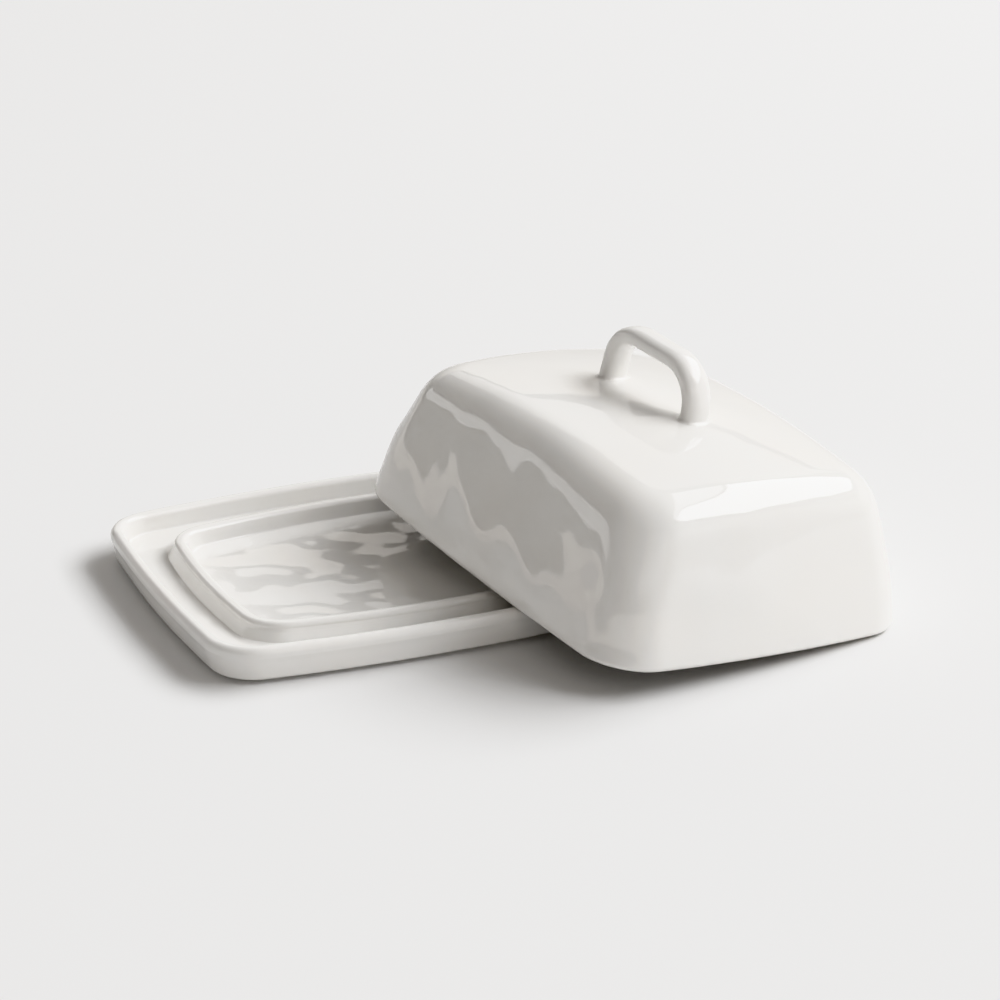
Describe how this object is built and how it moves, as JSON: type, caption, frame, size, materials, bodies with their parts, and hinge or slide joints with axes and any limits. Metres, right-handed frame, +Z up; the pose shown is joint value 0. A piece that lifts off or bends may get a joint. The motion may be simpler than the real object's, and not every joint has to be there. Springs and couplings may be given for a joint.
{
  "type": "butter dish",
  "caption": "Glazed porcelain butter dish: a ridged tray and a deep domed cover with a loop handle, the cover lying crosswise on the tray.",
  "frame": {"origin": "centre of the tray's footprint, on the plane its foot stands on", "axes": "+X along the tray's long side, towards the end the cover lies on; +Z up"},
  "size_m": [0.2155, 0.179, 0.084],
  "materials": {
    "tray_glaze": "glossy white glaze, unglazed foot",
    "cover_glaze": "glossy white glaze",
    "handle_glaze": "glossy white glaze"
  },
  "bodies": {
    "tray": {"tray": "tray_glaze"},
    "cover": {"cover_shell": "cover_glaze", "cover_handle": "handle_glaze"}
  },
  "joints": [
    {"name": "cover_lift", "type": "slide", "parent": "tray", "child": "cover", "axis": [0, 0, 1], "range_m": [0, 0.12]}
  ]
}
